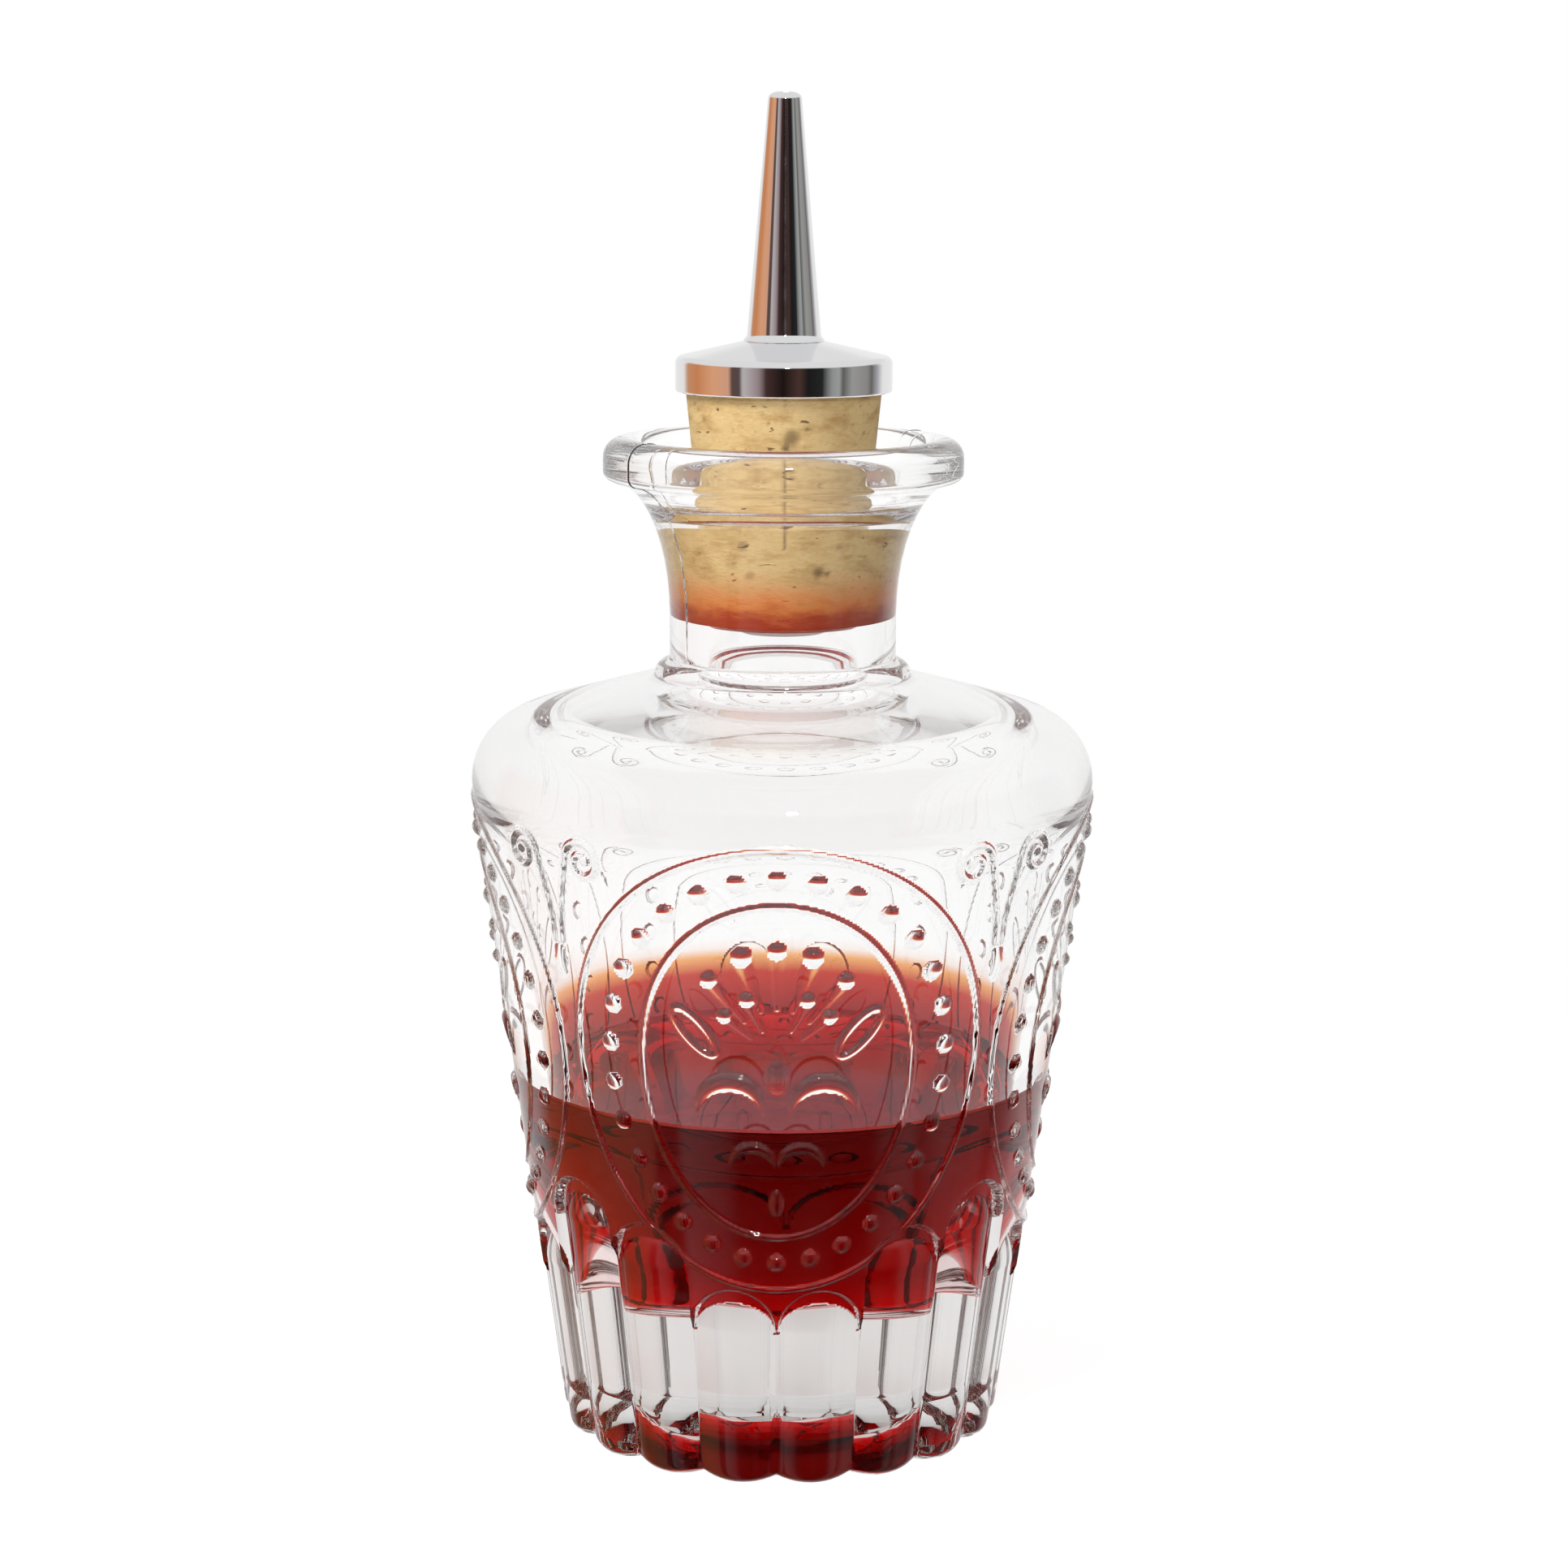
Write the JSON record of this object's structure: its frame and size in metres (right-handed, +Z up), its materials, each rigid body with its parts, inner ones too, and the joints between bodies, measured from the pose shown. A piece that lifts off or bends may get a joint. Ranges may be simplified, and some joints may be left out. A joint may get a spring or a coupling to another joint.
{
  "type": "bitters bottle",
  "caption": "Pressed glass bitters bottle with fluted foot, beaded medallions and flared lip, closed by a tapered cork that carries a hollow metal dasher cone.",
  "frame": {"origin": "middle of the standing face, on the bottle's axis", "axes": "+Z up along the bottle's axis, -Y toward the front medallion"},
  "size_m": [0.0742, 0.0742, 0.1582],
  "materials": {
    "clear_glass": "clear pressed glass, fire polished",
    "bitters": "clear dark red liquid",
    "cork": "natural cork with fine pores",
    "bright_chrome": "mirror polished plating",
    "natural_plastic": "milky moulded plastic"
  },
  "bodies": {
    "bottle": {"glass_bottle": "clear_glass", "bitters_fill": "bitters"},
    "cork": {"cork_stopper": "cork"},
    "dasher": {"flow_tube": "natural_plastic", "dash_restrictor": "natural_plastic", "cap_shell": "bright_chrome", "dasher_cone": "bright_chrome"}
  },
  "joints": [
    {"name": "stopper_pull", "type": "slide", "parent": "bottle", "child": "cork", "axis": [0, 0, 1], "range_m": [0, 0.035]},
    {"name": "dasher_twist", "type": "hinge", "parent": "cork", "child": "dasher", "pos_m": [0, 0, 0.124], "axis": [0, 0, 1], "continuous": true}
  ]
}
